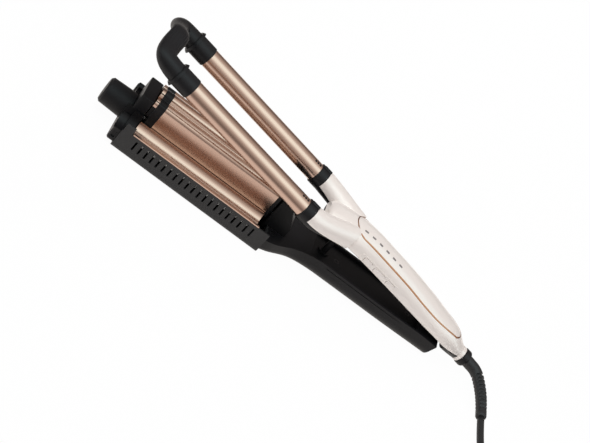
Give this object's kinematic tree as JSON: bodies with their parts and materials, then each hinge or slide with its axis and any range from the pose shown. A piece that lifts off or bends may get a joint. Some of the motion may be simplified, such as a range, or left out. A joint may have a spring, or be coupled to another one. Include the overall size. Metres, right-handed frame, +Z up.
{
  "type": "hair waver",
  "caption": "Corded hair waver: a fork with round barrels swings on a vented jaw with troughs and a ridged centre barrel that a tip dial raises.",
  "frame": {"origin": "centre of the footprint on the table, without the cord", "axes": "+X runs from the tip to the cord end, +Y to the side without buttons, +Z up"},
  "size_m": [0.595, 0.1825, 0.1189],
  "materials": {
    "black_plastic": "satin moulded plastic",
    "dark_plastic": "matt moulded plastic",
    "rose_gold": "satin rose-gold ceramic coat on aluminium",
    "copper_trim": "polished copper-coloured plating",
    "pearl_plastic": "pearl lacquer",
    "button_plastic": "pearl lacquer",
    "grey_lens": "translucent grey lens",
    "steel": "zinc-plated steel",
    "bushing": "sintered bronze",
    "ceramic": "ceramic heater",
    "board_green": "circuit board",
    "cord_rubber": "matt cable rubber",
    "pin_metal": "nickel-plated brass"
  },
  "bodies": {
    "lower_arm": {"vent_housing": "black_plastic", "jaw_end_cap": "black_plastic", "end_block": "black_plastic", "rear_guide_block": "black_plastic", "lower_handle": "black_plastic", "lower_inner_cover": "black_plastic", "guide_post": "dark_plastic", "near_trough_plate": "rose_gold", "far_trough_plate": "rose_gold", "near_trough_heater": "ceramic", "far_trough_heater": "ceramic", "front_bearing": "bushing", "rear_bearing": "bushing", "hinge_pin": "steel", "hinge_spring": "steel", "cover_screws": "steel", "neck_screws": "steel", "cord": "cord_rubber", "cord_coil": "cord_rubber", "cord_tail": "cord_rubber", "mains_plug": "cord_rubber", "plug_pins": "pin_metal"},
    "centre_barrel": {"wave_barrel": "rose_gold", "barrel_ring": "dark_plastic", "barrel_rear_cap": "black_plastic", "centre_heater": "ceramic", "lift_followers": "dark_plastic"},
    "dial": {"depth_dial": "dark_plastic", "cam_shaft": "steel"},
    "upper_arm": {"tip_bridge": "black_plastic", "near_barrel": "rose_gold", "far_barrel": "rose_gold", "near_heater_core": "ceramic", "far_heater_core": "ceramic", "near_collar": "black_plastic", "far_collar": "black_plastic", "handle_shell": "pearl_plastic", "lower_shell": "black_plastic", "trim_ring": "copper_trim", "top_inlay": "pearl_plastic", "indicator_lenses": "grey_lens", "control_board": "board_green", "button_frame": "pearl_plastic", "end_ring": "pearl_plastic", "guide_collar": "black_plastic", "strain_relief": "cord_rubber"},
    "minus_key": {"minus_button": "button_plastic"},
    "power_key": {"power_button": "button_plastic"},
    "plus_key": {"plus_button": "button_plastic"},
    "cord_swivel": {"swivel_collar": "black_plastic"}
  },
  "joints": [
    {"name": "jaw_hinge", "type": "hinge", "parent": "lower_arm", "child": "upper_arm", "pos_m": [0.15833, 0, 0.0106], "axis": [0, -1, 0], "range_deg": [0, 11.2], "stiffness_Nm_per_rad": 1.2, "springref_deg": -40.11},
    {"name": "dial_turn", "type": "hinge", "parent": "lower_arm", "child": "dial", "pos_m": [-0.20137, 0, 0.017], "axis": [1, 0, 0], "range_deg": [0, 270]},
    {"name": "barrel_lift", "type": "slide", "parent": "lower_arm", "child": "centre_barrel", "axis": [0, 0, -1], "range_m": [0, 0.01]},
    {"name": "minus_press", "type": "slide", "parent": "upper_arm", "child": "minus_key", "axis": [0, 1, 0], "range_m": [0, 0.0006], "stiffness_N_per_m": 800},
    {"name": "power_press", "type": "slide", "parent": "upper_arm", "child": "power_key", "axis": [0, 1, 0], "range_m": [0, 0.0006], "stiffness_N_per_m": 800},
    {"name": "plus_press", "type": "slide", "parent": "upper_arm", "child": "plus_key", "axis": [0, 1, 0], "range_m": [0, 0.0006], "stiffness_N_per_m": 800},
    {"name": "cord_swivel_turn", "type": "hinge", "parent": "upper_arm", "child": "cord_swivel", "pos_m": [0.19331, 0, 0.0158], "axis": [0.981, 0, -0.1942], "continuous": true}
  ],
  "couplings": [
    {"joint": "dial_turn", "follows": "barrel_lift", "rad_per_m": 471.24}
  ]
}
